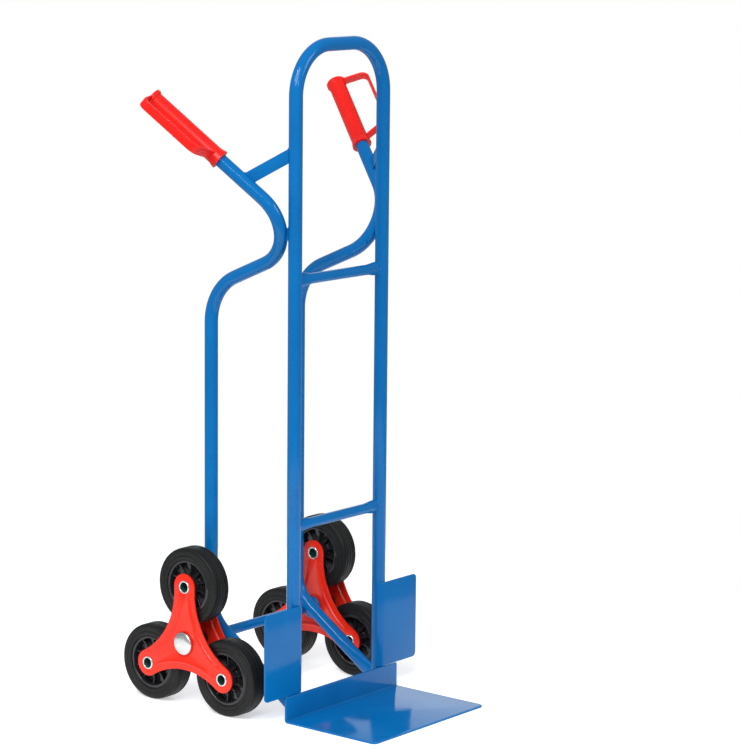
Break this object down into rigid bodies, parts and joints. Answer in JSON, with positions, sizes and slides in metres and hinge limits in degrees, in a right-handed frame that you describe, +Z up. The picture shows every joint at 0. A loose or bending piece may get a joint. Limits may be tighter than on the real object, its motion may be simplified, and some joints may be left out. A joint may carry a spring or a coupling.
{
  "type": "stair-climbing sack truck",
  "caption": "Tall tubular hand truck with a folded toe plate, swept-back handles with guarded grips, and a turning star of three wheels on each side for climbing steps.",
  "frame": {"origin": "on the floor under the middle of the truck", "axes": "+Z up, -Y the way the toe plate points, X across the truck; both lower wheels and the toe plate stand on Z = 0"},
  "size_m": [0.6494, 0.6056, 1.3],
  "materials": {
    "blue_powder_coat": "satin powder coat on steel tube and sheet",
    "red_powder_coat": "gloss powder coat on pressed steel",
    "red_plastic": "moulded, lightly grained",
    "tyre_rubber": "solid rubber with grooved shoulders",
    "rim_plastic": "moulded, glossy",
    "black_nylon": "moulded bush",
    "zinc_steel": "bright zinc plated",
    "cap_steel": "bright pressed steel"
  },
  "bodies": {
    "frame": {"main_tube": "blue_powder_coat", "upper_crossbar": "blue_powder_coat", "lower_crossbar": "blue_powder_coat", "toe_plate": "blue_powder_coat", "axle_tube": "blue_powder_coat", "axle_rod": "zinc_steel", "left_wheel_guard": "blue_powder_coat", "left_handle_tube": "blue_powder_coat", "left_handle_link": "blue_powder_coat", "left_handle_brace": "blue_powder_coat", "left_grip": "red_plastic", "left_axle_boss": "blue_powder_coat", "left_thrust_washer": "zinc_steel", "left_axle_cap": "cap_steel", "right_wheel_guard": "blue_powder_coat", "right_handle_tube": "blue_powder_coat", "right_handle_link": "blue_powder_coat", "right_handle_brace": "blue_powder_coat", "right_grip": "red_plastic", "right_axle_boss": "blue_powder_coat", "right_thrust_washer": "zinc_steel", "right_axle_cap": "cap_steel"},
    "left_star": {"left_star_outer_plate": "red_powder_coat", "left_star_inner_plate": "red_powder_coat", "left_star_bush": "black_nylon", "left_axle_top": "zinc_steel", "left_axle_front": "zinc_steel", "left_axle_rear": "zinc_steel"},
    "left_wheel_top": {"left_tyre_top": "tyre_rubber", "left_rim_top": "rim_plastic", "left_bush_top": "black_nylon"},
    "left_wheel_front": {"left_tyre_front": "tyre_rubber", "left_rim_front": "rim_plastic", "left_bush_front": "black_nylon"},
    "left_wheel_rear": {"left_tyre_rear": "tyre_rubber", "left_rim_rear": "rim_plastic", "left_bush_rear": "black_nylon"},
    "right_star": {"right_star_outer_plate": "red_powder_coat", "right_star_inner_plate": "red_powder_coat", "right_star_bush": "black_nylon", "right_axle_top": "zinc_steel", "right_axle_front": "zinc_steel", "right_axle_rear": "zinc_steel"},
    "right_wheel_top": {"right_tyre_top": "tyre_rubber", "right_rim_top": "rim_plastic", "right_bush_top": "black_nylon"},
    "right_wheel_front": {"right_tyre_front": "tyre_rubber", "right_rim_front": "rim_plastic", "right_bush_front": "black_nylon"},
    "right_wheel_rear": {"right_tyre_rear": "tyre_rubber", "right_rim_rear": "rim_plastic", "right_bush_rear": "black_nylon"}
  },
  "joints": [
    {"name": "left_star_turn", "type": "hinge", "parent": "frame", "child": "left_star", "pos_m": [-0.1935, 0.13122, 0.13075], "axis": [1, 0, 0], "continuous": true},
    {"name": "left_wheel_top_roll", "type": "hinge", "parent": "left_star", "child": "left_wheel_top", "pos_m": [-0.1935, 0.13122, 0.24225], "axis": [1, 0, 0], "continuous": true},
    {"name": "left_wheel_front_roll", "type": "hinge", "parent": "left_star", "child": "left_wheel_front", "pos_m": [-0.1935, 0.03466, 0.075], "axis": [1, 0, 0], "continuous": true},
    {"name": "left_wheel_rear_roll", "type": "hinge", "parent": "left_star", "child": "left_wheel_rear", "pos_m": [-0.1935, 0.22778, 0.075], "axis": [1, 0, 0], "continuous": true},
    {"name": "right_star_turn", "type": "hinge", "parent": "frame", "child": "right_star", "pos_m": [0.1935, 0.13122, 0.13075], "axis": [1, 0, 0], "continuous": true},
    {"name": "right_wheel_top_roll", "type": "hinge", "parent": "right_star", "child": "right_wheel_top", "pos_m": [0.1935, 0.13122, 0.24225], "axis": [1, 0, 0], "continuous": true},
    {"name": "right_wheel_front_roll", "type": "hinge", "parent": "right_star", "child": "right_wheel_front", "pos_m": [0.1935, 0.03466, 0.075], "axis": [1, 0, 0], "continuous": true},
    {"name": "right_wheel_rear_roll", "type": "hinge", "parent": "right_star", "child": "right_wheel_rear", "pos_m": [0.1935, 0.22778, 0.075], "axis": [1, 0, 0], "continuous": true}
  ]
}
